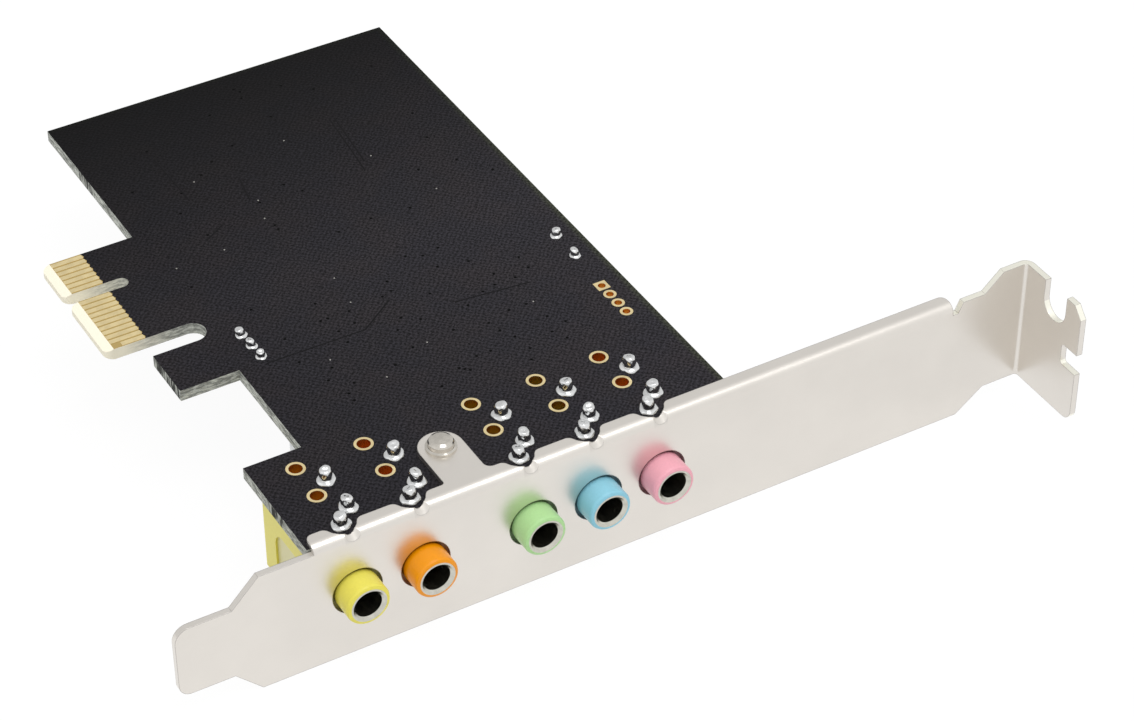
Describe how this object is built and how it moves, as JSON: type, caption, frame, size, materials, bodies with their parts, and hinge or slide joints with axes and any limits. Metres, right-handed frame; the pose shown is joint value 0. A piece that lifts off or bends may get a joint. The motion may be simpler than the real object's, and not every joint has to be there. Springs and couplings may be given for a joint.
{
  "type": "sound card",
  "caption": "Low-cost audio expansion card: black board with an edge connector, riveted to a full-height slot bracket with a row of coloured audio jacks.",
  "frame": {"origin": "on the seat face of the bracket's screw flange, level with the middle of the bracket's width and the centre of the screw notch", "axes": "+X runs along the bracket from the tongue to the screw flange, +Y into the computer away from the jacks' mouths, +Z out of the board's solder side"},
  "size_m": [0.1201, 0.1055, 0.0209],
  "materials": {
    "solder_mask": "black solder mask with a fine weave, satin",
    "gold_plate": "pale gold plate, satin",
    "bracket_steel": "nickel-plated sheet steel, faintly brushed",
    "rivet_metal": "bright plated steel",
    "lime_plastic": "lime yellow moulded plastic, semi-gloss",
    "orange_plastic": "orange moulded plastic, semi-gloss",
    "green_plastic": "light green moulded plastic, semi-gloss",
    "blue_plastic": "light blue moulded plastic, semi-gloss",
    "pink_plastic": "pink moulded plastic, semi-gloss",
    "sleeve_metal": "bright nickel plate",
    "spring_metal": "spring brass, satin",
    "solder": "bright lumpy solder",
    "chip_black": "black moulded resin, matt",
    "lead_metal": "tinned metal, satin",
    "crystal_metal": "drawn metal can, satin",
    "can_aluminium": "bare aluminium can, satin",
    "base_black": "black plastic base, matt",
    "ceramic_tan": "tan ceramic, matt",
    "resistor_black": "black coated ceramic, matt"
  },
  "bodies": {
    "root": {"circuit_board": "solder_mask", "contacts_solder_side": "gold_plate", "contacts_part_side": "gold_plate", "bracket": "bracket_steel", "bracket_rivet": "rivet_metal", "lime_jack_housing": "lime_plastic", "orange_jack_housing": "orange_plastic", "green_jack_housing": "green_plastic", "blue_jack_housing": "blue_plastic", "pink_jack_housing": "pink_plastic", "lime_jack_sleeve": "sleeve_metal", "orange_jack_sleeve": "sleeve_metal", "green_jack_sleeve": "sleeve_metal", "blue_jack_sleeve": "sleeve_metal", "pink_jack_sleeve": "sleeve_metal", "lime_jack_ring_spring": "spring_metal", "orange_jack_ring_spring": "spring_metal", "green_jack_ring_spring": "spring_metal", "blue_jack_ring_spring": "spring_metal", "pink_jack_ring_spring": "spring_metal", "lime_jack_tip_spring": "spring_metal", "orange_jack_tip_spring": "spring_metal", "green_jack_tip_spring": "spring_metal", "blue_jack_tip_spring": "spring_metal", "pink_jack_tip_spring": "spring_metal", "jack_solder": "solder", "hole_rings": "gold_plate", "header_rings": "gold_plate", "lead_solder": "solder", "regulator": "chip_black", "bridge_chip": "chip_black", "bridge_chip_leads": "lead_metal", "audio_chip": "chip_black", "audio_chip_leads": "lead_metal", "audio_crystal": "crystal_metal", "bridge_crystal": "crystal_metal", "capacitor_cans": "can_aluminium", "capacitor_bases": "base_black", "chip_capacitors": "ceramic_tan", "chip_resistors": "resistor_black"}
  },
  "joints": []
}
